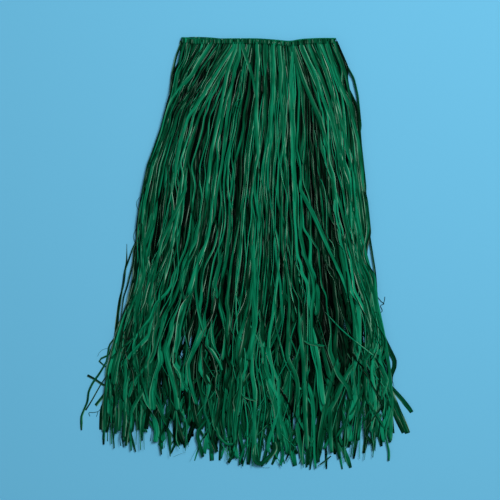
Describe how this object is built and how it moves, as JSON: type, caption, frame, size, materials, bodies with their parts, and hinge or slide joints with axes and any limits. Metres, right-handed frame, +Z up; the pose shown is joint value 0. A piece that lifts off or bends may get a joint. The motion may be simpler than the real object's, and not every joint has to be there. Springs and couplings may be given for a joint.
{
  "type": "grass skirt",
  "caption": "Dyed raffia grass skirt laid flat, front up: a narrow looped waistband with layers of long loose strands that fan out to a ragged hem.",
  "frame": {"origin": "bottom centre of the box round the skirt laid flat on a surface", "axes": "+Y along the skirt from the hem up to the waist, +X to the right as the picture shows it, +Z up from the surface through the front of the skirt"},
  "size_m": [0.6094, 0.7998, 0.0179],
  "materials": {
    "waistband": "dark green dyed raffia, looped over a cord, matt",
    "front_outer_strands": "green dyed raffia blades, soft sheen",
    "front_inner_strands": "green dyed raffia blades, soft sheen",
    "back_inner_strands": "dark green dyed raffia blades, soft sheen",
    "back_outer_strands": "dark green dyed raffia blades, soft sheen"
  },
  "bodies": {
    "root": {"waistband": "waistband", "front_outer_strands": "front_outer_strands", "front_inner_strands": "front_inner_strands", "back_inner_strands": "back_inner_strands", "back_outer_strands": "back_outer_strands"}
  },
  "joints": []
}
